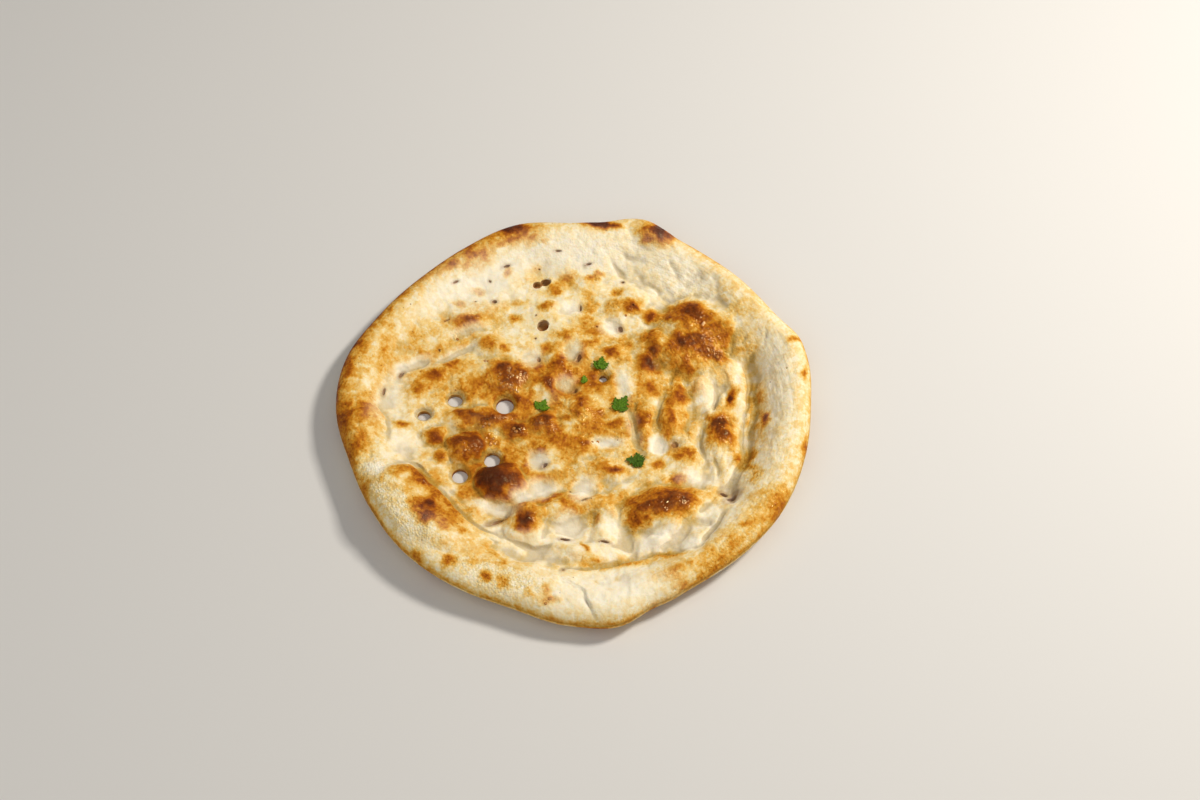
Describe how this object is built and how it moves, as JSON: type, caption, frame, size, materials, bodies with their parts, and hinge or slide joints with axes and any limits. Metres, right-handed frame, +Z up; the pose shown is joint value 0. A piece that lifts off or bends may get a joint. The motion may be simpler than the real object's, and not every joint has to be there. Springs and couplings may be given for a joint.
{
  "type": "naan bread",
  "caption": "Round oven-baked flatbread with a puffed rim, blisters, creases, prick holes through its thin middle and chopped herb stuck on top.",
  "frame": {"origin": "middle of the bread's outline, on the surface it rests on", "axes": "+Z up out of the bread's browned face, +Y away from the diner, +X to the diner's right"},
  "size_m": [0.2644, 0.264, 0.0243],
  "materials": {
    "baked_dough": "pale baked dough with golden to dark brown blisters, partly glossy with melted butter"
  },
  "bodies": {
    "root": {"naan_bread": "baked_dough"}
  },
  "joints": []
}
